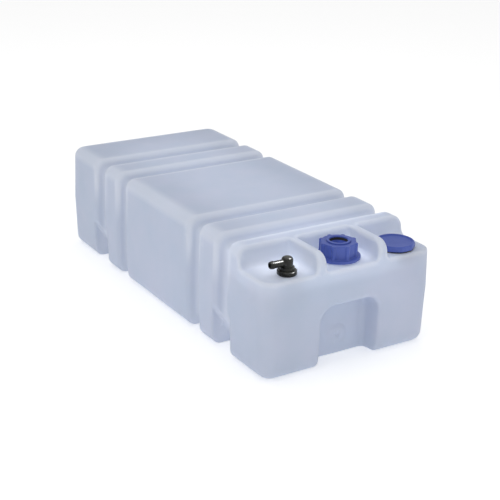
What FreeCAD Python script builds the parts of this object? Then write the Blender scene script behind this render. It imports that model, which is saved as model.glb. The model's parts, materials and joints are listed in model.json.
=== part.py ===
import FreeCAD, Part
import math
import os
import Sketcher

# Blow-moulded fresh water tank for a vehicle, lying flat, with a screw filler, a screw
# inspection cap and a swivelling hose elbow that draws through a dip tube.
# Frame: origin at the centre of the underside, +Z up, Y along the length, the end that
# carries the fittings at -Y.

# Driving dimensions in millimetres, angles in degrees.
DIMENSIONS = {
    # tank
    "body_length": 800,
    "body_width": 360,
    "body_height": 220,
    "wall": 3,
    "draft": 1.33,
    "corner_radius": 26,
    "edge_radius": 19,
    "groove_depth": 20,
    "groove_core_radius": 16,
    "inner_groove_start": 132,
    "inner_groove_width": 35,
    "outer_groove_start": 231,
    "outer_groove_width": 38,
    "mouth_radius": 7,
    "notch_start": 221,
    "notch_end": 281,
    "notch_top": 86,
    "notch_depth": 55,
    "notch_edge": 4,
    "shelf_level": 184,
    "shelf_length": 90,
    "ridge_inner": 53,
    "ridge_width": 24,
    "shelf_corner": 10,
    "shelf_edge": 6,
    "step_edge": 5,
    "pocket_half_width": 62,
    "pocket_top": 115,
    "pocket_depth": 40,
    "pocket_corner": 22,
    "pocket_edge": 6,
    "boss_level": 41,
    "boss_radius": 18,
    "boss_relief": 2,
    "dimple_radius": 4,
    "dimple_depth": 1.5,
    "cut_margin": 30,
    # filler, measured from its own axis and from the shelf
    "filler_y": -351,
    "neck_bore": 25,
    "neck_outside": 28,
    "neck_height": 22,
    "neck_threads": 3,
    "thread_height": 1.2,
    "thread_flank": 1.2,
    "thread_crest": 0.6,
    "thread_pitch": 5,
    "sleeve_bore": 16.5,
    "sleeve_outside": 21.5,
    "sleeve_flange": 28.4,
    "sleeve_drop": 1,
    "sleeve_lip": 2.5,
    "seal_seat": 19.5,
    "seal_height": 5,
    "gasket_height": 2.5,
    "gasket_margin": 0.5,
    "flange_height": 4,
    "collar_gap": 2.5,
    "collar_flange": 40,
    "collar_flange_height": 5,
    "collar_flange_bevel": 2,
    "collar_radius": 31.8,
    "collar_inside": 29.6,
    "collar_top": 4,
    "lobe_count": 8,
    "lobe_radius": 5,
    "lobe_centre": 29.8,
    "lobe_turn": -5,
    # inspection cap
    "cap_x": 122,
    "cap_y": -357,
    "opening_radius": 31.5,
    "opening_outside": 35,
    "opening_depth": 20,
    "plug_radius": 29.6,
    "plug_inside": 26.5,
    "plug_depth": 14,
    "plug_threads": 2,
    "plug_thread_start": 3,
    "cap_radius": 35.2,
    "cap_height": 7.5,
    "cap_plate": 3.5,
    "rim_width": 4,
    "rim_height": 2.5,
    "rim_bevel": 1,
    "grip_count": 10,
    "grip_radius": 6.5,
    "grip_centre": 30,
    "cap_gasket_inner": 32,
    "cap_gasket_outer": 34,
    # elbow and what hangs below it
    "elbow_x": -119,
    "elbow_y": -369,
    "washer_height": 1.5,
    "washer_outer": 16,
    "stem_hole": 8.3,
    "stem_radius": 8,
    "stem_length": 24,
    "base_flange": 17.4,
    "base_flange_height": 7,
    "base_bevel": 1,
    "socket_outside": 13,
    "socket_height": 5.5,
    "socket_bore": 10.08,
    "socket_floor": 3,
    "elbow_radius": 10,
    "elbow_level": 22,
    "elbow_bore": 4,
    "swivel_gap": 0.3,
    "ring_seat": 8.6,
    "ring_wire": 0.7,
    "ring_gap": 0.02,
    "ring_level": 6,
    "clip_level": 10.5,
    "clip_height": 1.2,
    "clip_inner": 9.2,
    "clip_outer": 11.2,
    "spigot_radius": 5.8,
    "spigot_length": 35.5,
    "barb_radius": 7,
    "barb_crest": 2.5,
    "barb_tip": 5.2,
    "barb_taper": 5,
    "nut_width": 26,
    "nut_height": 9,
    "nut_bore": 8.1,
    "tail_radius": 5,
    "tail_length": 12,
    "tube_inside": 5.05,
    "tube_outside": 6.5,
    "tube_bottom": 22,
    "strainer_foot": 6,
    "strainer_top": 34,
    "strainer_hub": 9.5,
    "strainer_hub_height": 8,
    "strainer_outside": 13,
    "strainer_wall": 2,
    "strainer_bore": 6.55,
    "slot_count": 12,
    "slot_width": 2.5,
    "slot_height": 13,
    "screen_outside": 10.6,
    "screen_wall": 0.6,
}

# How near, in millimetres, an edge lies to the place that a test looks for.
TOUCH = 0.01
CLOSE = 1
NEAR = 5

document = FreeCAD.newDocument("FreshWaterTank")
sheet = document.addObject("Spreadsheet::Sheet", "Dimensions")


class Size:
    """A number together with the sheet formula that gives it."""

    def __init__(self, value, formula):
        self.value = float(value)
        self.formula = formula

    def __add__(self, other):
        other = as_size(other)
        return Size(self.value + other.value, f"({self.formula} + {other.formula})")

    def __sub__(self, other):
        other = as_size(other)
        return Size(self.value - other.value, f"({self.formula} - {other.formula})")

    def __mul__(self, other):
        other = as_size(other)
        return Size(self.value * other.value, f"({self.formula} * {other.formula})")

    def __truediv__(self, other):
        other = as_size(other)
        return Size(self.value / other.value, f"({self.formula} / {other.formula})")

    def __neg__(self):
        return Size(-self.value, f"(-1 * {self.formula})")


def as_size(thing):
    if isinstance(thing, Size):
        return thing
    return Size(thing, str(thing))


def fill_sheet():
    """One row of the sheet for each driving dimension; returns them as sizes."""
    sizes = {}
    for row, (name, value) in enumerate(DIMENSIONS.items(), start=1):
        sheet.set(f"A{row}", name)
        sheet.set(f"B{row}", str(value))
        sheet.setAlias(f"B{row}", name)
        sizes[name] = Size(value, f"{sheet.Name}.{name}")
    document.recompute()
    return sizes


D = fill_sheet()


# Sketches

def plane_of(body, role):
    return next(plane for plane in body.Origin.OriginFeatures if plane.Role == role)


def new_sketch(body, role, name, offset=None):
    sketch = body.newObject("Sketcher::SketchObject", name)
    sketch.AttachmentSupport = [(plane_of(body, role), "")]
    sketch.MapMode = "FlatFace"
    if offset is not None:
        sketch.setExpression("AttachmentOffset.Base.z", as_size(offset).formula)
    return sketch


def hold(sketch, kind, *places, size):
    """A dimensional constraint that follows the sheet."""
    number = sketch.addConstraint(Sketcher.Constraint(kind, *places, size.value))
    sketch.setExpression(f"Constraints[{number}]", size.formula)


def hold_point(sketch, edge, end, place):
    across, up = (as_size(part) for part in place)
    hold(sketch, "DistanceX", -1, 1, edge, end, size=across)
    hold(sketch, "DistanceY", -1, 1, edge, end, size=up)


def at(place):
    across, up = (as_size(part) for part in place)
    return FreeCAD.Vector(across.value, up.value, 0)


def draw_outline(sketch, points):
    """A closed outline of straight lines through the points."""
    first = sketch.GeometryCount
    count = len(points)
    for index, point in enumerate(points):
        following = points[(index + 1) % count]
        sketch.addGeometry(Part.LineSegment(at(point), at(following)))
    for index, point in enumerate(points):
        next_edge = first + (index + 1) % count
        sketch.addConstraint(Sketcher.Constraint("Coincident", first + index, 2, next_edge, 1))
        hold_point(sketch, first + index, 1, point)


def draw_rectangle(sketch, low, high):
    draw_outline(sketch, [low, (high[0], low[1]), high, (low[0], high[1])])


def draw_rounded_rectangle(sketch, low, high, radius):
    """A rectangle from corner low to corner high whose corners are arcs."""
    radius = as_size(radius)
    left, bottom, right, top = (as_size(part) for part in (*low, *high))
    centres = [
        (right - radius, top - radius),
        (left + radius, top - radius),
        (left + radius, bottom + radius),
        (right - radius, bottom + radius),
    ]
    first = sketch.GeometryCount
    quarter = math.pi / 2
    for index, centre in enumerate(centres):
        circle = Part.Circle(at(centre), FreeCAD.Vector(0, 0, 1), radius.value)
        sketch.addGeometry(Part.ArcOfCircle(circle, index * quarter, (index + 1) * quarter))
    for index in range(4):
        following = (index + 1) % 4
        start = sketch.Geometry[first + index].EndPoint
        finish = sketch.Geometry[first + following].StartPoint
        sketch.addGeometry(Part.LineSegment(start, finish))
    for index, centre in enumerate(centres):
        arc = first + index
        line = first + 4 + index
        next_arc = first + (index + 1) % 4
        sketch.addConstraint(Sketcher.Constraint("Tangent", arc, 2, line, 1))
        sketch.addConstraint(Sketcher.Constraint("Tangent", line, 2, next_arc, 1))
        hold(sketch, "Radius", arc, size=radius)
        hold_point(sketch, arc, 3, centre)


def draw_circle(sketch, centre, radius):
    radius = as_size(radius)
    edge = sketch.GeometryCount
    sketch.addGeometry(Part.Circle(at(centre), FreeCAD.Vector(0, 0, 1), radius.value))
    hold(sketch, "Radius", edge, size=radius)
    hold_point(sketch, edge, 3, centre)


# Features

def follow(thing, **sizes):
    """Ties properties of an object to the sheet."""
    for name, size in sizes.items():
        thing.setExpression(name, as_size(size).formula)


def new_body(name, across=0, along=0):
    """A body whose own Z axis stands at this place on the tank."""
    body = document.addObject("PartDesign::Body", name)
    body.setExpression("Placement.Base.x", as_size(across).formula)
    body.setExpression("Placement.Base.y", as_size(along).formula)
    return body


def extrude(kind, body, sketch, name, length, both_ways=False, backwards=False):
    feature = body.newObject(f"PartDesign::{kind}", name)
    feature.Profile = sketch
    feature.Reversed = backwards
    if both_ways:
        feature.SideType = "Symmetric"
    follow(feature, Length=length)
    return feature


def revolve(body, name, points):
    """A solid of revolution about the body's Z axis; points are (radius, height)."""
    sketch = new_sketch(body, "XZ_Plane", f"{name}_profile")
    draw_outline(sketch, points)
    feature = body.newObject("PartDesign::Revolution", name)
    feature.Profile = sketch
    feature.ReferenceAxis = (sketch, ["V_Axis"])
    feature.Angle = 360
    return feature


def repeat_round(body, name, feature, count):
    """Repeats one feature evenly about the body's Z axis."""
    document.recompute()
    pattern = body.newObject("PartDesign::PolarPattern", name)
    pattern.Originals = [feature]
    pattern.Axis = (feature.Profile[0], ["N_Axis"])
    pattern.Angle = 360
    follow(pattern, Occurrences=count)
    body.Tip = pattern
    return pattern


def round_edges(body, name, radius, wanted):
    """Rounds those edges of the body so far that the test picks."""
    document.recompute()
    base = body.Tip
    names = [f"Edge{index}" for index, edge in enumerate(base.Shape.Edges, start=1) if wanted(edge)]
    fillet = body.newObject("PartDesign::Fillet", name)
    fillet.Base = (base, names)
    follow(fillet, Radius=radius)


def lies_at(edge, axis, level):
    """True where the whole edge lies in the plane at this level of the axis."""
    box = edge.BoundBox
    low = getattr(box, axis + "Min")
    high = getattr(box, axis + "Max")
    return abs(low - level) < TOUCH and abs(high - level) < TOUCH


def combine(kind, name, *shapes):
    """A Part boolean of document objects: Cut takes two, MultiFuse any number."""
    result = document.addObject(f"Part::{kind}", name)
    if kind == "Cut":
        result.Base, result.Tool = shapes
    else:
        result.Shapes = list(shapes)
    return result


# Tank walls. Each function makes the outside with inset 0, and with inset equal to the wall
# it makes the hollow inside, which is the same form one wall thickness in.

def pad_block(body, inset):
    """The drafted block, widest at the parting line half way up, with rounded rims."""
    half_width = D["body_width"] / 2 - inset
    half_length = D["body_length"] / 2 - inset
    half_height = D["body_height"] / 2 - inset
    sketch = new_sketch(body, "XY_Plane", f"{body.Name}_outline", offset=D["body_height"] / 2)
    draw_rounded_rectangle(
        sketch, (-half_width, -half_length), (half_width, half_length), D["corner_radius"] - inset
    )
    block = body.newObject("PartDesign::Pad", f"{body.Name}_block")
    block.Profile = sketch
    block.SideType = "Two sides"
    follow(block, Length=half_height, Length2=half_height)
    follow(block, TaperAngle=-D["draft"], TaperAngle2=-D["draft"])
    rims = (inset.value, (D["body_height"] - inset).value)
    round_edges(
        body, f"{body.Name}_rims", D["edge_radius"] - inset,
        lambda edge: any(lies_at(edge, "Z", level) for level in rims),
    )


def cut_grooves(body, inset):
    """Four grooves that run right round the tank, down to one common core."""
    half_width = D["body_width"] / 2
    height = D["body_height"]
    depth = D["groove_depth"] + inset
    margin = D["cut_margin"]
    for place in ("inner", "outer"):
        width = D[f"{place}_groove_width"]
        centre = D[f"{place}_groove_start"] + width / 2
        for end, side in (("front", 1), ("rear", -1)):
            name = f"{body.Name}_{end}_{place}_groove"
            sketch = new_sketch(body, "XZ_Plane", f"{name}_section", offset=centre * side)
            draw_rectangle(sketch, (-half_width - margin, -margin), (half_width + margin, height + margin))
            draw_rounded_rectangle(
                sketch, (-half_width + depth, depth), (half_width - depth, height - depth),
                D["groove_core_radius"] - inset,
            )
            extrude("Pocket", body, sketch, name, width + inset * 2, both_ways=True)


def on_groove_mouth(edge):
    """True for the edges where a groove's wall meets the outside of the tank."""
    box = edge.BoundBox
    low = D["groove_depth"].value
    high = D["body_height"].value - low
    half = D["body_width"].value / 2 - low
    beside = box.XMin < -half - CLOSE or box.XMax > half + CLOSE
    outside = beside or box.ZMin < low - CLOSE or box.ZMax > high + CLOSE
    walls = []
    for place in ("inner", "outer"):
        start = D[f"{place}_groove_start"].value
        finish = start + D[f"{place}_groove_width"].value
        walls += [start, finish, -start, -finish]
    return outside and any(lies_at(edge, "Y", wall) for wall in walls)


def cut_notches(body, inset):
    """A wedge low on both sides of each outer groove, deepest at the floor."""
    half_width = D["body_width"] / 2
    margin = D["cut_margin"]
    slope = D["notch_depth"] / D["notch_top"]
    centre = (D["notch_start"] + D["notch_end"]) / 2
    width = D["notch_end"] - D["notch_start"] + inset * 2
    deep = half_width - D["notch_depth"] - inset - slope * margin
    lip = half_width - inset + slope * margin
    top = D["notch_top"] + margin
    side_margin = half_width + margin
    for end, side in (("front", 1), ("rear", -1)):
        name = f"{body.Name}_{end}_notches"
        sketch = new_sketch(body, "XZ_Plane", f"{name}_section", offset=centre * side)
        for hand in (-1, 1):
            draw_outline(sketch, [
                (deep * hand, -margin),
                (lip * hand, top),
                (side_margin * hand, top),
                (side_margin * hand, -margin),
            ])
        extrude("Pocket", body, sketch, name, width, both_ways=True)


def on_notch_mouth(edge):
    """True for the upright edges where a notch's end walls meet the side of the tank."""
    low = edge.BoundBox.ZMax < D["notch_top"].value
    steep = edge.BoundBox.ZMin < TOUCH and edge.BoundBox.ZMax > D["edge_radius"].value
    walls = (D["notch_start"].value, D["notch_end"].value)
    on_wall = any(lies_at(edge, "Y", wall * side) for wall in walls for side in (1, -1))
    return low and on_wall and not steep and not lies_at(edge, "Z", 0)


def cut_shelf(body, inset):
    """Three pads across the front end, parted by two thin ridges of full height."""
    front = -D["body_length"] / 2 - D["cut_margin"]
    back = -D["body_length"] / 2 + D["shelf_length"] + inset
    near = D["ridge_inner"] + inset
    far = D["ridge_inner"] + D["ridge_width"] - inset
    side = D["body_width"] / 2 + D["cut_margin"]
    sketch = new_sketch(body, "XY_Plane", f"{body.Name}_pads", offset=D["shelf_level"] - inset)
    for left, right in ((-side, -far), (-near, near), (far, side)):
        draw_rounded_rectangle(sketch, (left, front), (right, back), D["shelf_corner"])
    extrude("Pocket", body, sketch, f"{body.Name}_shelf", D["body_height"], backwards=True)


def on_pad_edge(edge):
    """True for the edges where a pad meets the front or the sides of the tank."""
    box = edge.BoundBox
    half_width = D["body_width"].value / 2
    at_front = box.YMax < -D["body_length"].value / 2 + NEAR
    at_side = max(abs(box.XMin), abs(box.XMax)) - (box.XMax - box.XMin) > half_width - NEAR
    return lies_at(edge, "Z", D["shelf_level"].value) and (at_front or at_side)


def on_step_top(edge):
    """True for the top edges of the ridges and of the wall behind the pads."""
    back = -D["body_length"].value / 2 + D["shelf_length"].value
    box = edge.BoundBox
    return lies_at(edge, "Z", D["body_height"].value) and box.YMin < back + TOUCH and box.YMax < back + CLOSE


def cut_pocket(body, inset):
    """The arched pocket low in the front face, open at the bottom."""
    half_width = D["pocket_half_width"] + inset
    back = D["body_length"] / 2 - D["pocket_depth"] - inset
    sketch = new_sketch(body, "XZ_Plane", f"{body.Name}_arch", offset=back)
    draw_rounded_rectangle(
        sketch, (-half_width, -D["cut_margin"] * 2), (half_width, D["pocket_top"] + inset),
        D["pocket_corner"] + inset,
    )
    extrude("Pocket", body, sketch, f"{body.Name}_pocket", D["body_length"], backwards=True)


def on_pocket_mouth(edge):
    """True for the edges of the pocket in the front face and under its back wall."""
    box = edge.BoundBox
    half_width = D["pocket_half_width"].value + CLOSE
    back = -D["body_length"].value / 2 + D["pocket_depth"].value
    framed = box.XMin > -half_width and box.XMax < half_width and box.ZMax < D["pocket_top"].value + CLOSE
    at_front = box.YMax < -D["body_length"].value / 2 + NEAR
    underneath = lies_at(edge, "Z", 0) and lies_at(edge, "Y", back)
    return (framed and at_front) or underneath


def add_boss(body):
    """The round blank for a drain on the pocket's back wall, dimpled at its centre."""
    face = D["body_length"] / 2 - D["pocket_depth"]
    root = D["wall"] / 2
    centre = (0, D["boss_level"])
    disc = new_sketch(body, "XZ_Plane", "boss_disc", offset=face - root)
    draw_circle(disc, centre, D["boss_radius"])
    extrude("Pad", body, disc, "boss", D["boss_relief"] + root)
    dimple = new_sketch(body, "XZ_Plane", "dimple_circle", offset=face + D["boss_relief"])
    draw_circle(dimple, centre, D["dimple_radius"])
    extrude("Pocket", body, dimple, "dimple", D["dimple_depth"])


def tank_outside():
    body = new_body("outside")
    inset = as_size(0)
    pad_block(body, inset)
    cut_grooves(body, inset)
    round_edges(body, "groove_mouths", D["mouth_radius"], on_groove_mouth)
    cut_notches(body, inset)
    cut_shelf(body, inset)
    cut_pocket(body, inset)
    round_edges(body, "pad_edges", D["shelf_edge"], on_pad_edge)
    round_edges(body, "step_tops", D["step_edge"], on_step_top)
    round_edges(body, "pocket_mouth", D["pocket_edge"], on_pocket_mouth)
    round_edges(body, "notch_mouths", D["notch_edge"], on_notch_mouth)
    add_boss(body)
    return body


def tank_inside():
    body = new_body("inside")
    inset = D["wall"]
    pad_block(body, inset)
    cut_grooves(body, inset)
    cut_notches(body, inset)
    cut_shelf(body, inset)
    cut_pocket(body, inset)
    return body


def thread_ring(root, low):
    """Outline of one ring that stands for a turn of screw thread, from its lower edge up."""
    crest = root + D["thread_height"]
    flank_top = low + D["thread_flank"]
    crest_top = flank_top + D["thread_crest"]
    return [(root, low), (crest, flank_top), (crest, crest_top), (root, crest_top + D["thread_flank"])]


def filler_neck():
    """The neck over the middle pad, with rings that stand for its screw thread."""
    body = new_body("filler_neck", along=D["filler_y"])
    level = D["shelf_level"]
    top = level + D["neck_height"]
    outside = D["neck_outside"]
    points = [(D["neck_bore"], level - D["wall"]), (outside, level - D["wall"])]
    for turns_down in range(DIMENSIONS["neck_threads"], 0, -1):
        points += thread_ring(outside, top - D["thread_pitch"] * turns_down)
    points += [(outside, top), (D["neck_bore"], top)]
    revolve(body, "filler_neck_tube", points)
    return body


def inspection_opening():
    """The collar that hangs below the right-hand pad and takes the cap's plug."""
    body = new_body("inspection_opening", D["cap_x"], D["cap_y"])
    low = D["shelf_level"] - D["opening_depth"]
    high = D["shelf_level"]
    inner = D["opening_radius"]
    outer = D["opening_outside"]
    revolve(body, "opening_tube", [(inner, low), (outer, low), (outer, high), (inner, high)])
    return body


def hole_tool(name, across, along, radius):
    """An upright cylinder through the shelf, for cutting a hole."""
    tool = document.addObject("Part::Cylinder", name)
    follow(tool, Radius=radius, Height=D["cut_margin"])
    tool.setExpression("Placement.Base.x", as_size(across).formula)
    tool.setExpression("Placement.Base.y", as_size(along).formula)
    tool.setExpression("Placement.Base.z", (D["shelf_level"] - D["cut_margin"] / 2).formula)
    return tool


def make_tank_shell():
    walls = combine("Cut", "walls", tank_outside(), tank_inside())
    holes = combine(
        "MultiFuse", "shelf_holes",
        hole_tool("filler_hole", 0, D["filler_y"], D["neck_bore"]),
        hole_tool("inspection_hole", D["cap_x"], D["cap_y"], D["opening_radius"]),
        hole_tool("elbow_hole", D["elbow_x"], D["elbow_y"], D["stem_hole"]),
    )
    pierced = combine("Cut", "pierced_walls", walls, holes)
    return combine("MultiFuse", "tank_shell", pierced, filler_neck(), inspection_opening())


# Filler, in the middle bay

def neck_top():
    return D["shelf_level"] + D["neck_height"]


def make_filler_gasket():
    """Flat rubber ring on the neck's rim."""
    body = new_body("filler_gasket", along=D["filler_y"])
    low = neck_top()
    high = low + D["gasket_height"]
    inner = D["neck_bore"] + D["gasket_margin"]
    outer = D["neck_outside"] - D["gasket_margin"]
    revolve(body, "filler_gasket_ring", [(inner, low), (outer, low), (outer, high), (inner, high)])
    return body


def make_filler_sleeve():
    """The sleeve a filler hose pushes into: a flange clamped on the gasket, a groove for a seal."""
    body = new_body("filler_sleeve", along=D["filler_y"])
    bore = D["sleeve_bore"]
    outside = D["sleeve_outside"]
    bottom = D["shelf_level"] + D["sleeve_drop"]
    flange_low = neck_top() + D["gasket_height"]
    flange_high = flange_low + D["flange_height"]
    top = flange_high + D["collar_top"] + D["sleeve_lip"]
    seat_high = top - D["sleeve_lip"]
    seat_low = seat_high - D["seal_height"]
    revolve(body, "filler_sleeve_tube", [
        (bore, bottom), (outside, bottom), (outside, flange_low), (D["sleeve_flange"], flange_low),
        (D["sleeve_flange"], flange_high), (outside, flange_high), (outside, top), (bore, top),
        (bore, seat_high), (D["seal_seat"], seat_high), (D["seal_seat"], seat_low), (bore, seat_low),
    ])
    return body


def make_hose_seal():
    """Rubber ring in the sleeve's groove, flush with its bore."""
    body = new_body("filler_hose_seal", along=D["filler_y"])
    high = neck_top() + D["gasket_height"] + D["flange_height"] + D["collar_top"]
    low = high - D["seal_height"]
    inner = D["sleeve_bore"]
    outer = D["seal_seat"]
    revolve(body, "hose_seal_ring", [(inner, low), (outer, low), (outer, high), (inner, high)])
    return body


def make_filler_collar():
    """The lobed screw collar with its wide foot flange."""
    body = new_body("filler_collar", along=D["filler_y"])
    body.setExpression("Placement.Rotation.Angle", D["lobe_turn"].formula)
    bottom = D["shelf_level"] + D["collar_gap"]
    foot = bottom + D["collar_flange_height"]
    ceiling = neck_top() + D["gasket_height"] + D["flange_height"]
    top = ceiling + D["collar_top"]
    hole = D["sleeve_outside"] + D["swivel_gap"]
    revolve(body, "collar_barrel", [
        (D["collar_inside"], bottom), (D["collar_flange"], bottom), (D["collar_flange"], foot),
        (D["collar_radius"], foot + D["collar_flange_bevel"]), (D["collar_radius"], top), (hole, top),
        (hole, ceiling), (D["collar_inside"], ceiling),
    ])
    lobe = new_sketch(body, "XY_Plane", "collar_lobe_outline", offset=foot)
    draw_circle(lobe, (D["lobe_centre"], 0), D["lobe_radius"])
    pad = extrude("Pad", body, lobe, "collar_lobe", top - foot)
    repeat_round(body, "collar_lobes", pad, D["lobe_count"])
    inside = new_sketch(body, "XY_Plane", "collar_inside_circle", offset=ceiling)
    draw_circle(inside, (0, 0), D["collar_inside"])
    extrude("Pocket", body, inside, "collar_inside", ceiling - bottom)
    mouth = new_sketch(body, "XY_Plane", "collar_mouth_circle", offset=top)
    draw_circle(mouth, (0, 0), hole)
    extrude("Pocket", body, mouth, "collar_mouth", D["collar_top"])
    return body


# Inspection cap, on the right-hand pad

def make_inspection_gasket():
    body = new_body("inspection_gasket", D["cap_x"], D["cap_y"])
    low = D["shelf_level"]
    high = low + D["gasket_height"]
    inner = D["cap_gasket_inner"]
    outer = D["cap_gasket_outer"]
    revolve(body, "inspection_gasket_ring", [(inner, low), (outer, low), (outer, high), (inner, high)])
    return body


def make_inspection_cap():
    """A flat cap with a raised rim, finger grips and a hollow threaded plug."""
    body = new_body("inspection_cap", D["cap_x"], D["cap_y"])
    seat = D["shelf_level"] + D["gasket_height"]
    top = seat + D["cap_height"]
    plug_low = D["shelf_level"] - D["plug_depth"]
    bevel = D["rim_bevel"]
    rim_top = top + D["rim_height"]
    rim_inside = D["cap_radius"] - D["rim_width"]
    points = [(0, seat + D["cap_plate"]), (0, top), (rim_inside - bevel, top), (rim_inside, rim_top)]
    points += [(D["cap_radius"] - bevel, rim_top), (D["cap_radius"], rim_top - bevel)]
    points += [(D["cap_radius"], seat), (D["plug_radius"], seat)]
    for turn in range(1, DIMENSIONS["plug_threads"] + 1):
        low = D["shelf_level"] + D["plug_thread_start"] - D["thread_pitch"] * (turn + 1)
        points += reversed(thread_ring(D["plug_radius"], low))
    points += [(D["plug_radius"], plug_low), (D["plug_inside"], plug_low)]
    points += [(D["plug_inside"], seat + D["cap_plate"])]
    revolve(body, "cap_disc", points)
    grip = new_sketch(body, "XY_Plane", "cap_grip_outline", offset=seat)
    draw_circle(grip, (D["grip_centre"], 0), D["grip_radius"])
    pad = extrude("Pad", body, grip, "cap_grip", D["cap_height"])
    repeat_round(body, "cap_grips", pad, D["grip_count"])
    return body


# Elbow, on the left-hand pad

def elbow_body_at(name):
    return new_body(name, D["elbow_x"], D["elbow_y"])


def make_elbow_washer():
    body = elbow_body_at("elbow_washer")
    low = D["shelf_level"]
    high = low + D["washer_height"]
    inner = D["stem_hole"]
    outer = D["washer_outer"]
    revolve(body, "washer_ring", [(inner, low), (outer, low), (outer, high), (inner, high)])
    return body


def make_elbow_base():
    """Flange and swivel socket above the shelf, threaded stem and hose tail below it."""
    body = elbow_body_at("elbow_base")
    seat = D["shelf_level"] + D["washer_height"]
    flange_top = seat + D["base_flange_height"]
    socket_top = flange_top + D["socket_height"]
    floor = seat + D["socket_floor"]
    stem_low = D["shelf_level"] - D["stem_length"]
    tail_low = stem_low - D["tail_length"]
    clip_low = floor + D["clip_level"] - D["socket_floor"]
    revolve(body, "base_turning", [
        (D["elbow_bore"], tail_low), (D["tail_radius"], tail_low), (D["tail_radius"], stem_low),
        (D["stem_radius"], stem_low), (D["stem_radius"], seat), (D["base_flange"], seat),
        (D["base_flange"], flange_top - D["base_bevel"]), (D["base_flange"] - D["base_bevel"], flange_top),
        (D["socket_outside"], flange_top), (D["socket_outside"], socket_top),
        (D["socket_bore"], socket_top), (D["socket_bore"], clip_low + D["clip_height"]),
        (D["clip_outer"], clip_low + D["clip_height"]), (D["clip_outer"], clip_low),
        (D["socket_bore"], clip_low), (D["socket_bore"], floor), (D["elbow_bore"], floor),
    ])
    return body


def make_elbow_retainer():
    """Ring in the socket's groove that keeps the elbow from lifting out."""
    body = elbow_body_at("elbow_retainer")
    low = D["shelf_level"] + D["washer_height"] + D["clip_level"]
    high = low + D["clip_height"]
    inner = D["clip_inner"]
    outer = D["clip_outer"]
    revolve(body, "retainer_ring", [(inner, low), (outer, low), (outer, high), (inner, high)])
    return body


def make_elbow_body():
    """The elbow: a grooved stem, a domed head and a spigot that points to -X."""
    body = elbow_body_at("elbow_body")
    gap = D["swivel_gap"]
    floor = D["shelf_level"] + D["washer_height"] + D["socket_floor"] + gap
    ring_low = D["shelf_level"] + D["washer_height"] + D["ring_level"]
    ring_high = ring_low + D["ring_wire"] * 2
    clip_low = D["shelf_level"] + D["washer_height"] + D["clip_level"] - gap
    clip_high = clip_low + D["clip_height"] + gap * 2
    neck = D["clip_inner"] - gap
    radius = D["elbow_radius"]
    centre = D["shelf_level"] + D["elbow_level"]
    revolve(body, "elbow_stem", [
        (0, floor), (radius, floor), (radius, ring_low), (D["ring_seat"], ring_low),
        (D["ring_seat"], ring_high), (radius, ring_high), (radius, clip_low), (neck, clip_low),
        (neck, clip_high), (radius, clip_high), (radius, centre), (0, centre),
    ])
    dome = body.newObject("PartDesign::AdditiveSphere", "elbow_dome")
    dome.MapMode = "Deactivated"
    follow(dome, Radius=radius)
    dome.setExpression("Placement.Base.z", centre.formula)
    spigot = new_sketch(body, "YZ_Plane", "spigot_circle")
    draw_circle(spigot, (0, centre), D["spigot_radius"])
    plain = D["spigot_length"] - D["barb_crest"] - D["barb_taper"]
    extrude("Pad", body, spigot, "spigot", plain, backwards=True)
    crest = new_sketch(body, "YZ_Plane", "crest_circle", offset=-plain)
    draw_circle(crest, (0, centre), D["barb_radius"])
    extrude("Pad", body, crest, "crest", D["barb_crest"], backwards=True)
    barb = body.newObject("PartDesign::AdditiveCone", "barb")
    barb.MapMode = "Deactivated"
    barb.Placement.Rotation = FreeCAD.Rotation(FreeCAD.Vector(0, 1, 0), -90)
    follow(barb, Radius1=D["barb_radius"], Radius2=D["barb_tip"], Height=D["barb_taper"])
    barb.setExpression("Placement.Base.x", (-plain - D["barb_crest"]).formula)
    barb.setExpression("Placement.Base.z", centre.formula)
    upright = new_sketch(body, "XY_Plane", "upright_bore", offset=centre)
    draw_circle(upright, (0, 0), D["elbow_bore"])
    extrude("Pocket", body, upright, "upright_passage", D["elbow_level"])
    across = new_sketch(body, "YZ_Plane", "spigot_bore")
    draw_circle(across, (0, centre), D["elbow_bore"])
    extrude("Pocket", body, across, "spigot_passage", D["spigot_length"])
    return body


def make_elbow_o_ring():
    """Rubber ring in the stem's lower groove."""
    ring = document.addObject("Part::Torus", "elbow_o_ring")
    follow(ring, Radius1=D["ring_seat"] + D["ring_wire"] + D["ring_gap"], Radius2=D["ring_wire"])
    ring.setExpression("Placement.Base.x", D["elbow_x"].formula)
    ring.setExpression("Placement.Base.y", D["elbow_y"].formula)
    level = D["shelf_level"] + D["washer_height"] + D["ring_level"] + D["ring_wire"]
    ring.setExpression("Placement.Base.z", level.formula)
    return ring


def make_elbow_locknut():
    """Hexagon nut under the shelf."""
    body = elbow_body_at("elbow_locknut")
    high = D["shelf_level"] - D["wall"]
    corner = D["nut_width"] / math.sqrt(3)
    half = D["nut_width"] / 2
    sketch = new_sketch(body, "XY_Plane", "nut_outline", offset=high)
    draw_outline(sketch, [
        (corner, 0), (corner / 2, half), (-corner / 2, half),
        (-corner, 0), (-corner / 2, -half), (corner / 2, -half),
    ])
    draw_circle(sketch, (0, 0), D["nut_bore"])
    extrude("Pad", body, sketch, "nut", D["nut_height"], backwards=True)
    return body


def make_dip_tube():
    """Suction tube pushed over the base's tail, down to the strainer."""
    body = elbow_body_at("dip_tube")
    low = D["tube_bottom"]
    high = D["shelf_level"] - D["stem_length"]
    inner = D["tube_inside"]
    outer = D["tube_outside"]
    revolve(body, "tube_wall", [(inner, low), (outer, low), (outer, high), (inner, high)])
    return body


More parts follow.
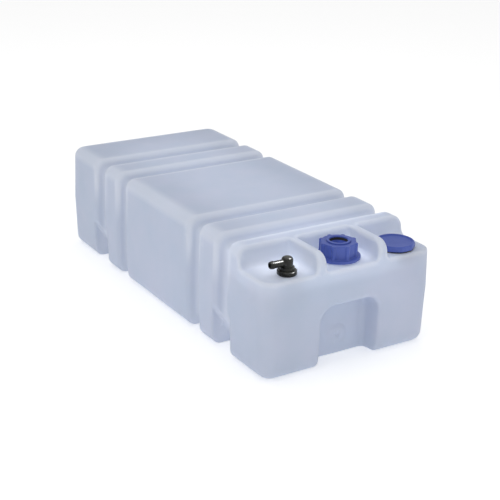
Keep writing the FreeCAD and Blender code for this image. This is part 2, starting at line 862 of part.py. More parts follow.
def make_strainer():
    """Slotted cup whose hub grips the lower end of the dip tube."""
    body = elbow_body_at("strainer")
    foot = D["strainer_foot"]
    top = D["strainer_top"]
    shoulder = top - D["strainer_hub_height"]
    outside = D["strainer_outside"]
    inside = outside - D["strainer_wall"]
    floor = foot + D["strainer_wall"]
    ceiling = shoulder - D["strainer_wall"]
    revolve(body, "strainer_cup", [
        (0, foot), (outside, foot), (outside, shoulder), (D["strainer_hub"], shoulder),
        (D["strainer_hub"], top), (D["strainer_bore"], top), (D["strainer_bore"], ceiling),
        (inside, ceiling), (inside, floor), (0, floor),
    ])
    slot = new_sketch(body, "YZ_Plane", "slot_outline")
    half = D["slot_width"] / 2
    low = floor + (ceiling - floor - D["slot_height"]) / 2
    draw_rectangle(slot, (-half, low), (half, low + D["slot_height"]))
    cut = extrude("Pocket", body, slot, "slot", outside * 2, backwards=True)
    document.recompute()
    pattern = body.newObject("PartDesign::PolarPattern", "slots")
    pattern.Originals = [cut]
    pattern.Axis = (body.Origin.OriginFeatures[2], [""])
    pattern.Angle = 360
    follow(pattern, Occurrences=D["slot_count"])
    body.Tip = pattern
    return body


def make_strainer_screen():
    """Fine mesh sleeve inside the strainer."""
    body = elbow_body_at("strainer_screen")
    low = D["strainer_foot"] + D["strainer_wall"]
    high = D["strainer_top"] - D["strainer_hub_height"] - D["strainer_wall"]
    outer = D["screen_outside"]
    inner = outer - D["screen_wall"]
    revolve(body, "screen_wall_ring", [(inner, low), (outer, low), (outer, high), (inner, high)])
    return body


# Document

SUB_PARTS = {
    "tank_shell": make_tank_shell,
    "filler_gasket": make_filler_gasket,
    "filler_sleeve": make_filler_sleeve,
    "filler_hose_seal": make_hose_seal,
    "filler_collar": make_filler_collar,
    "inspection_gasket": make_inspection_gasket,
    "inspection_cap": make_inspection_cap,
    "elbow_washer": make_elbow_washer,
    "elbow_base": make_elbow_base,
    "elbow_o_ring": make_elbow_o_ring,
    "elbow_retainer": make_elbow_retainer,
    "elbow_body": make_elbow_body,
    "elbow_locknut": make_elbow_locknut,
    "dip_tube": make_dip_tube,
    "strainer": make_strainer,
    "strainer_screen": make_strainer_screen,
}


def check_document():
    for item in document.Objects:
        if "Invalid" in item.State or "Error" in item.State:
            raise RuntimeError(f"{item.Name} failed: {item.State}")


def write_parts(parts):
    os.makedirs("parts", exist_ok=True)
    for label, item in parts.items():
        shape = item.Shape
        if shape.isNull() or not shape.isValid() or not shape.Solids:
            raise RuntimeError(f"{label} has no valid solid")
        shape.exportStep(f"parts/{label}.step")
        print(f"{label}: {len(shape.Solids)} solid, {shape.Volume / 1000:.2f} cm3")


def main():
    parts = {label: make() for label, make in SUB_PARTS.items()}
    document.recompute()
    for label, item in parts.items():
        item.Label = label
    check_document()
    write_parts(parts)


main()
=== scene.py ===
import json
import math

import bmesh
import bpy
import numpy as np
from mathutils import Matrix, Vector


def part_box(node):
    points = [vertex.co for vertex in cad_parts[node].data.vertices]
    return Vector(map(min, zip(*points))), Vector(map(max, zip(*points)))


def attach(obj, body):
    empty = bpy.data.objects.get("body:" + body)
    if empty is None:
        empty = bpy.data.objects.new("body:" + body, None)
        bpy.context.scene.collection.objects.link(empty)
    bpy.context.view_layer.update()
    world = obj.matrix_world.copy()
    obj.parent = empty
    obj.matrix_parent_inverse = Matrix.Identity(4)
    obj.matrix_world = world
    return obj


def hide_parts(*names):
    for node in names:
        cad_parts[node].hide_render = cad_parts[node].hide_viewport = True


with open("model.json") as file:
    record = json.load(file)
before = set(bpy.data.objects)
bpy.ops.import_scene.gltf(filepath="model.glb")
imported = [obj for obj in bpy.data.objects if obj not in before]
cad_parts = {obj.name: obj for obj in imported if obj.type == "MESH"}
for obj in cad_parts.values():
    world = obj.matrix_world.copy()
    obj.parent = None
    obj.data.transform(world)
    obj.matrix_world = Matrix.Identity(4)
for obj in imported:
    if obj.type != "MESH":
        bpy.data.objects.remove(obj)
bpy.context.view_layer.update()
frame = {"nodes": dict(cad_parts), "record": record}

import openvdb
from mathutils import Matrix, Vector

MM = 0.001


# Places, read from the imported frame. Lengths are in metres.

shell_low, shell_high = (np.array(corner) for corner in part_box("tank_shell"))
HALF_WIDTH, HALF_LENGTH = shell_high[0], shell_high[1]
HEIGHT = shell_high[2]
MIDDLE = HEIGHT / 2
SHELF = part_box("elbow_washer")[0][2]


def axis_of(node):
    """The x and y of a turned part's upright axis."""
    low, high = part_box(node)
    return ((low[0] + high[0]) / 2, (low[1] + high[1]) / 2)


FILLER = axis_of("filler_collar")
INSPECTION = axis_of("inspection_cap")
ELBOW = axis_of("elbow_washer")
NECK_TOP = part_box("filler_gasket")[0][2]
COLLAR_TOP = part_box("filler_collar")[1][2]
SLEEVE_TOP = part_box("filler_sleeve")[1][2]


# Distance fields. Each is negative inside its form; numbers are metres.

def rounded_both(first, second, radius):
    """Where both forms are, with the edge between them rounded."""
    over = np.sqrt(np.maximum(first + radius, 0) ** 2 + np.maximum(second + radius, 0) ** 2)
    return np.minimum(np.maximum(first, second), -radius) + over


def rounded_either(first, second, radius):
    """Either form, with the inner corner between them filled to a radius."""
    under = np.sqrt(np.maximum(radius - first, 0) ** 2 + np.maximum(radius - second, 0) ** 2)
    return np.maximum(np.minimum(first, second), radius) - under


def cut_from(form, cutter, radius):
    return rounded_both(form, -cutter, radius)


def between(along, low, high):
    return np.abs(along - (low + high) / 2) - (high - low) / 2


def rounded_rectangle(across, up, half_across, half_up, radius):
    """Distance to a rectangle centred on the origin, with corners of this radius."""
    out_across = np.abs(across) - half_across + radius
    out_up = np.abs(up) - half_up + radius
    outside = np.sqrt(np.maximum(out_across, 0) ** 2 + np.maximum(out_up, 0) ** 2)
    return np.minimum(np.maximum(out_across, out_up), 0) + outside - radius


# Form of the blow-moulded tank

VOXEL = 2.0 * MM
FINE_VOXEL = 0.5 * MM
WALL = 3.0 * MM
DRAFT = math.tan(math.radians(1.33))
CORE_DEPTH = 20 * MM
# Bulge at which the painted highlight on the tank's edges is full.
FULL_HIGHLIGHT_BULGE = 60
WALL_SLOPE = math.tan(math.radians(9))
BLOCKS = ((-440, -269), (-231, -167), (-132, 132), (167, 231), (269, 440))  # y, in millimetres
NOTCH_DEPTH, NOTCH_TOP = 55 * MM, 86 * MM
NOTCH_FROM, NOTCH_TO = 221 * MM, 281 * MM
STEP_BACK = 311 * MM
RIDGE_INSIDE, RIDGE_OUTSIDE = 53.5 * MM, 76.5 * MM
POCKET_BACK, POCKET_TOP, POCKET_HALF_WIDTH = -360 * MM, 113 * MM, 58.5 * MM
BOSS_HEIGHT = 41 * MM
RIPPLE = 0.15 * MM
DISH = 1.2 * MM
DISH_REACH = (150 * MM, 115 * MM)
NECK_BORE, OPENING_BORE, ELBOW_BORE = 25 * MM, 31.5 * MM, 8.3 * MM


def envelope(x, y, z):
    """The drafted outer block with rounded corners and rims."""
    taper = DRAFT * np.abs(z - MIDDLE)
    plan = rounded_rectangle(x, y, HALF_WIDTH - taper, HALF_LENGTH - taper, 26 * MM)
    return rounded_both(plan, np.abs(z - MIDDLE) - MIDDLE, 20 * MM)


def grooved(x, y, z):
    """Blocks standing out of one core, so that grooves with sloping walls run right round."""
    outer = envelope(x, y, z)
    core = rounded_rectangle(x, z - MIDDLE, HALF_WIDTH - CORE_DEPTH, MIDDLE - CORE_DEPTH,
                             16 * MM)
    form = np.maximum(core, np.abs(y) - HALF_LENGTH + CORE_DEPTH)
    for start, finish in BLOCKS:
        centre = (start + finish) / 2 * MM
        half = (finish - start) / 2 * MM
        slab = np.abs(y - centre) - half + WALL_SLOPE * np.maximum(outer, -CORE_DEPTH * 2)
        form = rounded_either(form, rounded_both(outer, slab, 9 * MM), 7 * MM)
    return form


def notched(form, x, y, z):
    """Wedges cut low into both sides of the outer grooves."""
    slope = math.hypot(NOTCH_DEPTH, NOTCH_TOP)
    incline = ((np.abs(x) - HALF_WIDTH + NOTCH_DEPTH) * NOTCH_TOP - z * NOTCH_DEPTH) / slope
    across = between(np.abs(y), NOTCH_FROM, NOTCH_TO)
    return cut_from(form, rounded_both(-incline, across, 5 * MM), 4 * MM)


def stepped(form, x, y, z):
    """The three pads of the front shelf and the two ridges between them."""
    behind = y + STEP_BACK - 0.2 * (z - SHELF)
    corner = rounded_both(behind, SHELF - z, 9 * MM)
    lean = 0.12 * (z - SHELF)
    near = RIDGE_INSIDE + lean
    far = RIDGE_OUTSIDE - lean
    for side in (x + far, np.abs(x) - near, far - x):
        form = cut_from(form, rounded_both(corner, side, 7 * MM), 5 * MM)
    return form


def pocketed(form, x, y, z):
    """The arched pocket in the front face, with a round dimpled blank on its back wall."""
    reach = 200 * MM
    out = np.maximum(POCKET_BACK - y, 0)
    arch = rounded_rectangle(x, z - POCKET_TOP + reach, POCKET_HALF_WIDTH, reach, 24 * MM)
    form = cut_from(form, rounded_both(arch - 0.12 * out, y - POCKET_BACK, 8 * MM), 7 * MM)
    disc = np.sqrt(x ** 2 + (z - BOSS_HEIGHT) ** 2) - 18 * MM + 2 * out
    proud = between(y, POCKET_BACK - 1.6 * MM, POCKET_BACK + 3 * MM)
    form = rounded_either(form, rounded_both(disc, proud, 1.5 * MM), 3 * MM)
    dimple = np.sqrt(x ** 2 + (y - POCKET_BACK + 8 * MM) ** 2 + (z - BOSS_HEIGHT) ** 2) - 8.4 * MM
    return cut_from(form, dimple, 1 * MM)


def sunken(form, x, y, z):
    """Large flat walls sag inwards a little as they cool."""
    ripple = (np.sin(x * 31 + 1.3) * np.sin(y * 23 + 0.4)
              + np.sin(y * 41 + 2.1) * np.sin(z * 37 + x * 9))
    dish_across = np.clip(1 - (x / DISH_REACH[0]) ** 2, 0, 1)
    dish_along = np.clip(1 - (np.abs(y) / DISH_REACH[1]) ** 2, 0, 1)
    return form + RIPPLE * (ripple + 2) + DISH * (dish_across * dish_along)


def tank_form(x, y, z):
    """Distance to the tank's outer surface, without its openings."""
    form = sunken(grooved(x, y, z), x, y, z)
    form = notched(form, x, y, z)
    form = stepped(form, x, y, z)
    return pocketed(form, x, y, z)


def grid_of(form, low, high, voxel):
    """The form on a grid of voxels, and the place of the grid's first voxel."""
    start = np.array(low) - 3 * voxel
    counts = np.ceil((np.array(high) - start) / voxel).astype(int) + 4
    axes = [(start[i] + voxel * np.arange(counts[i])).astype(np.float32) for i in range(3)]
    band = 4 * voxel
    grid = openvdb.FloatGrid(band)
    distances = form(*np.meshgrid(*axes, indexing="ij"))
    grid.copyFromArray(np.ascontiguousarray(np.clip(distances, -band, band)))
    return grid, start


def slope_of(form, points):
    """The form's gradient at each point, by small steps to either side."""
    step = 0.05 * MM
    steps = np.eye(3) * step
    rises = [form(*(points + way).T) - form(*(points - way).T) for way in steps]
    return np.stack(rises, axis=1) / (2 * step)


def settle(points, form, level, voxel):
    """Moves points along the gradient on to the surface at this level."""
    for _ in range(2):
        slope = slope_of(form, points)
        off = (form(*points.T) - level) / np.maximum((slope ** 2).sum(axis=1), 0.25)
        points = points - slope * np.clip(off, -voxel / 2, voxel / 2)[:, None]
    return points


def skin(form, grid, start, voxel, level, adaptivity):
    """Points and faces of the form's surface at this level."""
    points, triangles, quads = grid.convertToPolygons(isovalue=level, adaptivity=adaptivity)
    points = settle(points * voxel + start, form, level, voxel)
    return points, [list(map(int, face)) for face in (*triangles, *quads)]


def mesh_object(name, points, faces):
    mesh = bpy.data.meshes.new(name)
    mesh.from_pydata([tuple(point) for point in points], [], faces)
    mesh.update()
    mesh.shade_smooth()
    piece = bpy.data.objects.new(name, mesh)
    bpy.context.scene.collection.objects.link(piece)
    return piece


def points_of(mesh):
    flat = np.empty(len(mesh.vertices) * 3)
    mesh.vertices.foreach_get("co", flat)
    return flat.reshape(-1, 3)


def lend_normals(mesh, form, levels):
    """Takes the normals from the form wherever a point lies on one of its levels."""
    points = points_of(mesh)
    slope = slope_of(form, points)
    slope /= np.maximum(np.linalg.norm(slope, axis=1), 0.01)[:, None]
    height = form(*points.T)
    normals = np.zeros_like(points)
    for level, way in levels:
        on = np.abs(height - level) < 0.2 * MM
        normals[on] = slope[on] * way
    mesh.normals_split_custom_set_from_vertices([tuple(normal) for normal in normals])


def form_object(name, form, low, high, voxel):
    """A closed piece from a form that lies between these corners."""
    grid, start = grid_of(form, low, high, voxel)
    piece = mesh_object(name, *skin(form, grid, start, voxel, 0, 0.02))
    lend_normals(piece.data, form, [(0, 1)])
    return piece


def drill(piece, place, radius, low, high):
    """Cuts a round upright hole through a piece."""
    drill_mesh = bpy.data.meshes.new("drill")
    shape = bmesh.new()
    centre = Matrix.Translation((*place, (low + high) / 2))
    bmesh.ops.create_cone(shape, cap_ends=True, segments=96, radius1=radius, radius2=radius,
                          depth=high - low, matrix=centre)
    shape.to_mesh(drill_mesh)
    shape.free()
    cutter = bpy.data.objects.new("drill", drill_mesh)
    bpy.context.scene.collection.objects.link(cutter)
    cut = piece.modifiers.new("drill", "BOOLEAN")
    cut.operation = "DIFFERENCE"
    cut.solver = "MANIFOLD"
    cut.object = cutter
    seen = bpy.context.evaluated_depsgraph_get()
    cut_mesh = bpy.data.meshes.new_from_object(piece.evaluated_get(seen))
    piece.modifiers.clear()
    piece.data = cut_mesh
    bpy.data.objects.remove(cutter)


def mark_shape(mesh):
    """Notes on each point how sharply the shell bulges and how deep it lies in a groove, for the
    painted highlights on its edges and the painted light in its grooves.
    """
    points = points_of(mesh)
    step = 5 * MM
    around = sum(tank_form(*(points + way).T) + tank_form(*(points - way).T)
                 for way in np.eye(3) * step)
    bulge = (around - 6 * tank_form(*points.T)) / step ** 2
    # Groove depth, which the material uses to paint grooves lighter and so lift the shade that
    # falls in them.
    depth = -envelope(*points.T) / CORE_DEPTH
    x, y, z = points.T
    # Painted highlight mask: only edges above 120 mm get it, fully from 200 mm up. It is left out
    # of the front pocket and halved on the pads, and the painted groove light is left out of the
    # pocket too.
    high = np.clip((z - 120 * MM) / (80 * MM), 0, 1)
    in_pocket = (np.abs(x) < 78 * MM) & (y < -352 * MM) & (z < 132 * MM)
    clear = np.where(in_pocket, 0, 1)
    pads = np.where(y < -300 * MM, 0.5, 1)
    notes = {"bulge": bulge / FULL_HIGHLIGHT_BULGE * high * clear * pads, "depth": depth * clear}
    for name, values in notes.items():
        note = mesh.attributes.new(name, "FLOAT", "POINT")
        note.data.foreach_set("value", np.clip(values, 0, 1).astype(np.float32))


def make_shell():
    grid, start = grid_of(tank_form, shell_low, shell_high, VOXEL)
    outer, outer_faces = skin(tank_form, grid, start, VOXEL, 0, 0.05)
    inner, inner_faces = skin(tank_form, grid, start, VOXEL, -WALL, 0.12)
    first = len(outer)
    flipped = [[first + corner for corner in reversed(face)] for face in inner_faces]
    piece = mesh_object("shell", np.concatenate((outer, inner)), outer_faces + flipped)
    for place, radius in ((FILLER, NECK_BORE), (INSPECTION, OPENING_BORE), (ELBOW, ELBOW_BORE)):
        drill(piece, place, radius, SHELF - 9 * MM, SHELF + 6 * MM)
    lend_normals(piece.data, tank_form, [(0, 1), (-WALL, -1)])
    mark_shape(piece.data)
    return piece


# Forms of the fittings. Each stands on its own upright axis, and z is measured from the floor.

THREAD_PITCH = 5 * MM
THREAD_HEIGHT = 2.6 * MM


def ring(x, y, z, inner, outer, low, high, edge):
    """An upright ring between two radii and two levels, with its edges rounded."""
    across = np.sqrt(x ** 2 + y ** 2) - (inner + outer) / 2
    up = z - (low + high) / 2
    return rounded_rectangle(across, up, (outer - inner) / 2, (high - low) / 2, edge)


def petals(x, y, count, turn, centre, radius):
    """Round lobes set evenly about the axis."""
    share = 2 * math.pi / count
    angle = np.mod(np.arctan2(y, x) - turn + share / 2, share) - share / 2
    away = np.sqrt(x ** 2 + y ** 2)
    return np.sqrt((away * np.cos(angle) - centre) ** 2 + (away * np.sin(angle)) ** 2) - radius


def neck_form(x, y, z):
    """The filler neck: a tube with rings for its screw thread."""
    form = ring(x, y, z, NECK_BORE, 28 * MM, SHELF - 2 * MM, NECK_TOP, 0.6 * MM)
    for turn in range(1, 4):
        low = NECK_TOP - turn * THREAD_PITCH
        thread = ring(x, y, z, 26 * MM, 29.15 * MM, low, low + THREAD_HEIGHT, 1 * MM)
        form = rounded_either(form, thread, 0.6 * MM)
    return form


def opening_form(x, y, z):
    """The short tube below the inspection opening."""
    return ring(x, y, z, OPENING_BORE, 35 * MM, SHELF - 20 * MM, SHELF - 1 * MM, 0.8 * MM)


def collar_form(x, y, z):
    """The lobed screw collar on its wide foot flange."""
    away = np.sqrt(x ** 2 + y ** 2)
    foot = SHELF + 2.5 * MM
    lobes = petals(x, y, 8, math.radians(-5), 30.7 * MM, 4.2 * MM)
    barrel = rounded_either(away - 31.2 * MM, lobes, 1.2 * MM)
    form = rounded_both(barrel, between(z, foot, COLLAR_TOP), 1.4 * MM)
    flange = rounded_both(away - 40 * MM, between(z, foot, foot + 5 * MM), 1.2 * MM)
    form = rounded_either(form, flange, 2.5 * MM)
    seat = rounded_both(away - 29.6 * MM, z - COLLAR_TOP + 4 * MM, 0.8 * MM)
    form = cut_from(form, seat, 0.5 * MM)
    return cut_from(form, away - 21.8 * MM, 0.8 * MM)


def sleeve_form(x, y, z):
    """The sleeve that takes the filler hose, with the seat for its seal."""
    tube = ring(x, y, z, 16.5 * MM, 21.5 * MM, SHELF + 1 * MM, SLEEVE_TOP, 1.3 * MM)
    flange = ring(x, y, z, 17 * MM, 28.4 * MM, COLLAR_TOP - 8 * MM, COLLAR_TOP - 4 * MM, 0.8 * MM)
    seat = ring(x, y, z, 12 * MM, 19.5 * MM, COLLAR_TOP - 5 * MM, COLLAR_TOP, 0.3 * MM)
    return cut_from(rounded_either(tube, flange, 0.8 * MM), seat, 0.4 * MM)


def cap_form(x, y, z):
    """The inspection cap: a dished disc with finger grips and a hollow threaded plug."""
    away = np.sqrt(x ** 2 + y ** 2)
    seat = SHELF + 2.5 * MM
    plate = seat + 7.5 * MM
    grips = rounded_either(away - 35 * MM, petals(x, y, 10, 0, 30 * MM, 6.5 * MM), 1.2 * MM)
    form = rounded_both(grips, between(z, seat, plate), 1 * MM)
    disc = rounded_both(away - 35 * MM, between(z, seat, plate + 2.5 * MM), 1.4 * MM)
    form = rounded_either(form, disc, 0.8 * MM)
    dish = rounded_both(away - 30.6 * MM - 0.35 * (z - plate), plate - z, 1.4 * MM)
    form = cut_from(form, dish, 0.9 * MM)
    plug = ring(x, y, z, -29.6 * MM, 29.6 * MM, SHELF - 14 * MM, seat + 2 * MM, 0.8 * MM)
    form = rounded_either(form, plug, 0.5 * MM)
    for low in (SHELF - 12 * MM, SHELF - 7 * MM):
        thread = ring(x, y, z, 28 * MM, 30.7 * MM, low, low + THREAD_HEIGHT, 1 * MM)
        form = rounded_either(form, thread, 0.6 * MM)
    return cut_from(form, rounded_both(away - 26.5 * MM, z - seat - 3.5 * MM, 1.5 * MM), 0.6 * MM)


def elbow_form(x, y, z):
    """The elbow: a grooved stem, a flat-topped head and a barbed spigot that points to -X."""
    away = np.sqrt(x ** 2 + y ** 2)
    top = SHELF + 32 * MM
    axis = top - 10 * MM
    form = rounded_both(away - 10 * MM, between(z, SHELF + 4.8 * MM, top), 5.5 * MM)
    barrel = rounded_both(away - 10 * MM, between(z, SHELF + 4.8 * MM, top - 8 * MM), 0.4 * MM)
    form = np.minimum(form, barrel)
    around = np.sqrt(y ** 2 + (z - axis) ** 2)
    reach = [3 * MM, 27 * MM, 28.3 * MM, 30.3 * MM, 35.5 * MM]
    girth = [6.3 * MM, 6.3 * MM, 7 * MM, 7 * MM, 6 * MM]
    spigot = rounded_both(around - np.interp(-x, reach, girth), between(x, -35.5 * MM, 0), 1.6 * MM)
    form = rounded_either(form, spigot, 1.5 * MM)
    for low, high, seat in ((7.5, 8.9, 8.6), (11.7, 13.5, 8.9)):
        groove = ring(x, y, z, seat * MM, 14 * MM, SHELF + low * MM, SHELF + high * MM, 0.1 * MM)
        form = cut_from(form, groove, 0.15 * MM)
    form = cut_from(form, rounded_both(around - 4 * MM, x, 0.5 * MM), 0.5 * MM)
    return cut_from(form, rounded_both(away - 4 * MM, z - axis, 0.5 * MM), 0.5 * MM)


def upright(name, form, place, reach, low, high):
    """A piece made from a form about an upright axis at this place."""
    piece = form_object(name, form, (-reach, -reach, low), (reach, reach, high), FINE_VOXEL)
    piece.data.transform(Matrix.Translation((*place, 0)))
    return piece


def stand_in(piece, node, body, slot_name):
    """Shows a piece in its CAD node's stead."""
    piece.data.materials.clear()
    piece.data.materials.append(FINISHES[slot_name])
    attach(piece, body)
    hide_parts(node)


# Materials

def new_material(name):
    material = bpy.data.materials.new(name)
    material.use_nodes = True
    return material


def noise(tree, coords, scale, detail):
    texture = tree.nodes.new("ShaderNodeTexNoise")
    texture.inputs["Scale"].default_value = scale
    texture.inputs["Detail"].default_value = detail
    texture.inputs["Roughness"].default_value = 0.5
    tree.links.new(coords, texture.inputs["Vector"])
    return texture.outputs["Fac"]


def ramp(tree, value, stops):
    """A colour that runs between two stops, each a place and a colour."""
    node = tree.nodes.new("ShaderNodeValToRGB")
    tree.links.new(value, node.inputs["Fac"])
    for element, (place, colour) in zip(node.color_ramp.elements, stops):
        element.position = place
        element.color = (*colour, 1)
    return node.outputs["Color"]


def spread(tree, value, low, high):
    """Noise spread over a range of values."""
    node = tree.nodes.new("ShaderNodeMapRange")
    node.inputs["From Min"].default_value = 0.3
    node.inputs["From Max"].default_value = 0.7
    node.inputs["To Min"].default_value = low
    node.inputs["To Max"].default_value = high
    tree.links.new(value, node.inputs["Value"])
    return node.outputs["Result"]


def bump(tree, height, strength, depth):
    node = tree.nodes.new("ShaderNodeBump")
    node.inputs["Strength"].default_value = strength
    node.inputs["Distance"].default_value = depth
    tree.links.new(height, node.inputs["Height"])
    return node.outputs["Normal"]


ROUGHNESS_SPREAD = 0.06
GRAIN_RELIEF = 0.05 * MM


def plastic(name, dark, light, roughness, shine=0.5, grain=900):
    """A moulded plastic with faint clouds of colour, uneven gloss and a fine grain."""
    material = new_material(name)
    tree = material.node_tree
    shader = tree.nodes["Principled BSDF"]
    shader.inputs["Specular IOR Level"].default_value = shine
    coords = tree.nodes.new("ShaderNodeTexCoord").outputs["Object"]
    cloud = noise(tree, coords, 14, 5)
    fine = noise(tree, coords, grain, 3)
    tree.links.new(ramp(tree, cloud, [(0.3, dark), (0.7, light)]), shader.inputs["Base Color"])
    gloss = noise(tree, coords, 40, 4)
    worn = spread(tree, gloss, roughness - ROUGHNESS_SPREAD, roughness + ROUGHNESS_SPREAD)
    tree.links.new(worn, shader.inputs["Roughness"])
    tree.links.new(bump(tree, fine, 0.35, GRAIN_RELIEF), shader.inputs["Normal"])
    return material


def let_light_through(material, share, colour):
    """Mixes in a share of diffuse light that comes through from behind."""
    tree = material.node_tree
    through = tree.nodes.new("ShaderNodeBsdfTranslucent")
    through.inputs["Color"].default_value = (*colour, 1)
    blend = tree.nodes.new("ShaderNodeMixShader")
    blend.inputs["Fac"].default_value = share
    tree.links.new(tree.nodes["Principled BSDF"].outputs["BSDF"], blend.inputs[1])
    tree.links.new(through.outputs["BSDF"], blend.inputs[2])
    tree.links.new(blend.outputs["Shader"], tree.nodes["Material Output"].inputs["Surface"])


def paint_light_by_note(material, note, share, colour):
    """Paints light into the base colour: shifts it towards a lighter colour where the shell's
    points carry this note.
    """
    tree = material.node_tree
    base = tree.nodes["Principled BSDF"].inputs["Base Color"]
    source = tree.nodes.new("ShaderNodeAttribute")
    source.attribute_name = note
    scale = tree.nodes.new("ShaderNodeMath")
    scale.operation = "MULTIPLY"
    scale.inputs[1].default_value = share
    blend = tree.nodes.new("ShaderNodeMixRGB")
    blend.inputs["Color2"].default_value = (*colour, 1)
    tree.links.new(source.outputs["Fac"], scale.inputs[0])
    tree.links.new(scale.outputs["Value"], blend.inputs["Fac"])
    tree.links.new(base.links[0].from_socket, blend.inputs["Color1"])
    tree.links.new(blend.outputs["Color"], base)


tank_plastic = plastic("tank_plastic", (0.57, 0.64, 0.75), (0.64, 0.675, 0.785), 0.42, grain=500)
# Painted highlight: the upper bulging edges of the blocks are shifted towards near white.
paint_light_by_note(tank_plastic, "bulge", 0.65, (0.92, 0.95, 1.0))
# Painted light: grooves and sunken faces are shifted lighter, lifting the shade that falls in them.
paint_light_by_note(tank_plastic, "depth", 0.75, (0.84, 0.87, 0.93))
let_light_through(tank_plastic, 0.4, (0.92, 0.945, 1.0))
blue_plastic = plastic("blue_plastic", (0.07, 0.11, 0.41), (0.085, 0.13, 0.47), 0.38, shine=0.3)
black_plastic = plastic("black_plastic", (0.007, 0.008, 0.007), (0.012, 0.012, 0.011), 0.24,
                        shine=0.3)
rubber = plastic("rubber", (0.02, 0.02, 0.02), (0.035, 0.035, 0.035), 0.7, shine=0.3)
tube_plastic = plastic("tube_plastic", (0.6, 0.63, 0.66), (0.68, 0.7, 0.72), 0.35)
screen_steel = plastic("screen_steel", (0.5, 0.5, 0.5), (0.6, 0.6, 0.6), 0.3)
screen_steel.node_tree.nodes["Principled BSDF"].inputs["Metallic"].default_value = 1.0

FINISHES = {
    "tank_plastic": tank_plastic,
    "blue_plastic": blue_plastic,
    "black_plastic": black_plastic,
    "rubber": rubber,
    "tube_plastic": tube_plastic,
    "screen_steel": screen_steel,
}


def finish_node(node, material):
    """Gives a CAD node its material."""
    mesh = frame["nodes"][node].data
    if not mesh.materials:
        mesh.materials.append(material)
    for i in range(len(mesh.materials)):
        mesh.materials[i] = material


for part in frame["record"]["subparts"]:
    finish_node(part["node"], FINISHES[part["material_slot"]])

stand_in(make_shell(), "tank_shell", "tank", "tank_plastic")
neck = upright("neck", neck_form, FILLER, 30 * MM, SHELF - 4 * MM, NECK_TOP)
opening = upright("opening", opening_form, INSPECTION, 36 * MM, SHELF - 22 * MM, SHELF)
for piece in (neck, opening):
    stand_in(piece, "tank_shell", "tank", "tank_plastic")
collar = upright("collar", collar_form, FILLER, 41 * MM, SHELF, COLLAR_TOP)
stand_in(collar, "filler_collar", "filler_screw", "blue_plastic")
sleeve = upright("sleeve", sleeve_form, FILLER, 30 * MM, SHELF, SLEEVE_TOP)
stand_in(sleeve, "filler_sleeve", "filler_insert", "blue_plastic")
cap = upright("cap", cap_form, INSPECTION, 38 * MM, SHELF - 16 * MM, SHELF + 14 * MM)
stand_in(cap, "inspection_cap", "cap_screw", "blue_plastic")
elbow = upright("elbow_piece", elbow_form, ELBOW, 37 * MM, SHELF + 3 * MM, SHELF + 33 * MM)
stand_in(elbow, "elbow_body", "elbow", "black_plastic")


# Room, light and camera

FLOOR_GLOW = 0.37
WORLD_LIGHT = 0.6
KEY_LIGHT = 6
GLINT_LIGHT = 240
CEILING_LIGHT = 13
CORE_GLOW = 0.38
PAD_GLOW = 2.2
BACK_GLOW = 3.0
FRONT_GLOW = 0.1


def make_floor():
    """A plain white floor that glows a little, so that it stays white under the tank's shadow."""
    mesh = bpy.data.meshes.new("floor")
    shape = bmesh.new()
    bmesh.ops.create_grid(shape, x_segments=1, y_segments=1, size=8)
    shape.to_mesh(mesh)
    shape.free()
    floor = bpy.data.objects.new("floor", mesh)
    bpy.context.scene.collection.objects.link(floor)
    material = new_material("floor")
    shader = material.node_tree.nodes["Principled BSDF"]
    shader.inputs["Base Color"].default_value = (0.93, 0.93, 0.93, 1)
    shader.inputs["Roughness"].default_value = 0.9
    shader.inputs["Specular IOR Level"].default_value = 0.1
    shader.inputs["Emission Color"].default_value = (1, 1, 1, 1)
    shader.inputs["Emission Strength"].default_value = FLOOR_GLOW
    mesh.materials.append(material)


def area_light(name, place, aim, size, power):
    lamp = bpy.data.lights.new(name, "AREA")
    lamp.shape = "RECTANGLE"
    lamp.size, lamp.size_y = size
    lamp.energy = power
    lamp_object = bpy.data.objects.new(name, lamp)
    lamp_object.location = place
    lamp_object.rotation_euler = (Vector(aim) - Vector(place)).to_track_quat("-Z", "Y").to_euler()
    bpy.context.scene.collection.objects.link(lamp_object)
    return lamp_object


def light_room():
    """An even white room, two soft lamps, and one that only puts a highlight on the elbow."""
    world = bpy.data.worlds.new("room")
    world.use_nodes = True
    background = world.node_tree.nodes["Background"]
    background.inputs["Color"].default_value = (1, 1, 1, 1)
    background.inputs["Strength"].default_value = WORLD_LIGHT
    bpy.context.scene.world = world
    area_light("key", (-1.6, -1.2, 2.6), (0, 0, 0.1), (1.6, 1.6), KEY_LIGHT)
    area_light("ceiling", (0.1, 0.2, 2.5), (0.1, 0.2, 0), (2.2, 2.2), CEILING_LIGHT)
    glint = area_light("glint", (1.18, -0.87, 2.28), (*ELBOW, SHELF), (0.3, 1.1), GLINT_LIGHT)
    only = bpy.data.collections.new("glint_on")
    for piece in (elbow, frame["nodes"]["elbow_base"]):
        only.objects.link(piece)
    glint.light_linking.receiver_collection = only


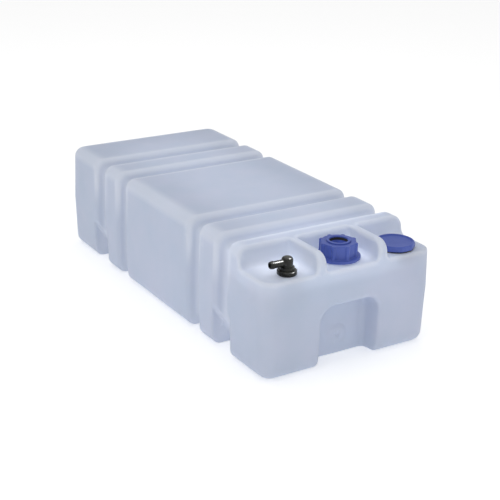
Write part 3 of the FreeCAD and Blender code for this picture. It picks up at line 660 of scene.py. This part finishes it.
def inner_lamp(name, centre, way, across, size, radiance):
    """A soft light in the hollow, hidden from the camera, that shines one way."""
    power = radiance * math.pi * size[0] * size[1]
    lamp = area_light(name, centre, centre + way, size, power)
    up = way.cross(across)
    lamp.rotation_euler = Matrix((across, up, -way)).transposed().to_euler()
    lamp.visible_camera = False


def light_inside():
    """Lamps in the hollow stand for the light that milky walls let in and scatter."""
    x, y, z = Vector((1, 0, 0)), Vector((0, 1, 0)), Vector((0, 0, 1))
    core = Vector((0, 0.03, MIDDLE))
    for side in (-1, 1):
        inner_lamp("core_side", core + side * 0.11 * x, side * x, y, (0.62, 0.11), CORE_GLOW)
        inner_lamp("core_level", core + side * 0.055 * z, side * z, x, (0.22, 0.62), CORE_GLOW)
        inner_lamp("core_end", core + side * 0.31 * y, side * y, x, (0.22, 0.11), CORE_GLOW)
        front = Vector((side * 0.115, -0.345, 0.10))
        inner_lamp("front_face", front, -y, x, (0.10, 0.16), FRONT_GLOW)
        inner_lamp("front_side", front + side * 0.02 * x, side * x, y, (0.07, 0.14), FRONT_GLOW / 2)
    inner_lamp("pads", Vector((0, -0.337, 0.155)), z, x, (0.31, 0.08), PAD_GLOW)
    inner_lamp("pad_backs", Vector((0, -0.288, 0.192)), -y, x, (0.31, 0.026), BACK_GLOW)


CAMERA_PLACE = Vector((-1.1313, -1.8569, 0.9320))
CAMERA_AZIMUTH = math.radians(-32.2175)
CAMERA_ELEVATION = math.radians(21.427)
CAMERA_ROLL = math.radians(1.185)
CAMERA_LENS = 82.84


def place_camera():
    camera = bpy.data.cameras.new("camera")
    camera.lens = CAMERA_LENS
    view = bpy.data.objects.new("camera", camera)
    turn = Matrix.Rotation(CAMERA_AZIMUTH, 4, "Z")
    tilt = Matrix.Rotation(math.pi / 2 - CAMERA_ELEVATION, 4, "X")
    roll = Matrix.Rotation(CAMERA_ROLL, 4, "Z")
    view.matrix_world = Matrix.Translation(CAMERA_PLACE) @ turn @ tilt @ roll
    bpy.context.scene.collection.objects.link(view)
    bpy.context.scene.camera = view


make_floor()
light_room()
light_inside()
place_camera()
bpy.context.scene.view_settings.view_transform = "Standard"
